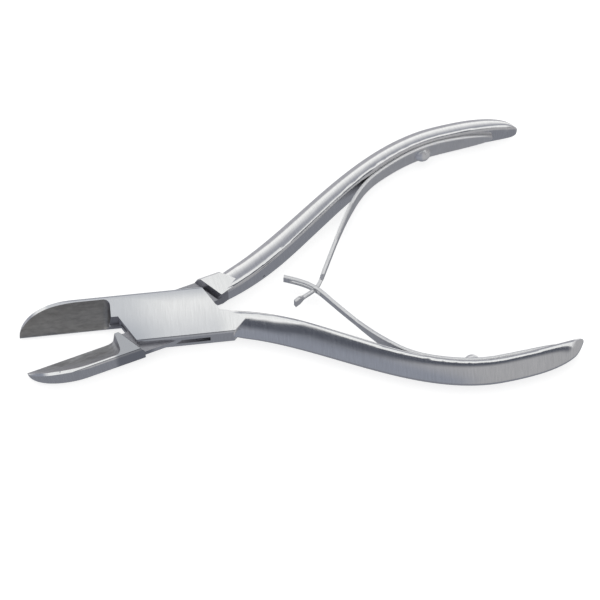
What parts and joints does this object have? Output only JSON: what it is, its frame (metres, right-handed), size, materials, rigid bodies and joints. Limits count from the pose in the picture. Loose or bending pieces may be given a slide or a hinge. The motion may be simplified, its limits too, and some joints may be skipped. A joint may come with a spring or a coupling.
{
  "type": "sprue nippers",
  "caption": "Box-jointed flush nippers for cutting parts off a sprue, with hollow-ground jaws, bowed handles and crossed leaf springs that open them",
  "frame": {"origin": "on the pivot axis, on the flat back face of the box joint", "axes": "+X runs along the centre line from the jaws to the handles, +Z is the pivot pin's axis from the flat back to the hollow-ground front, +Y points at the upper handle"},
  "size_m": [0.1368, 0.0728, 0.0082],
  "materials": {
    "half_steel": "satin, fine brush lines across the length",
    "pin_steel": "ground flush with the cheeks",
    "spring_steel": "hardened strip, slightly darker",
    "rivet_steel": "polished dome"
  },
  "bodies": {
    "box_body": {"box_half": "half_steel", "pivot_pin": "pin_steel", "lower_spring": "spring_steel", "lower_rivet": "rivet_steel"},
    "through_body": {"through_half": "half_steel", "upper_spring": "spring_steel", "upper_rivet": "rivet_steel"}
  },
  "joints": [
    {"name": "pivot", "type": "hinge", "parent": "box_body", "child": "through_body", "pos_m": [0, 0, 0.003], "axis": [0, 0, -1], "range_deg": [0, 14.8], "stiffness_Nm_per_rad": 4, "deforming": ["lower_spring", "upper_spring"]}
  ]
}
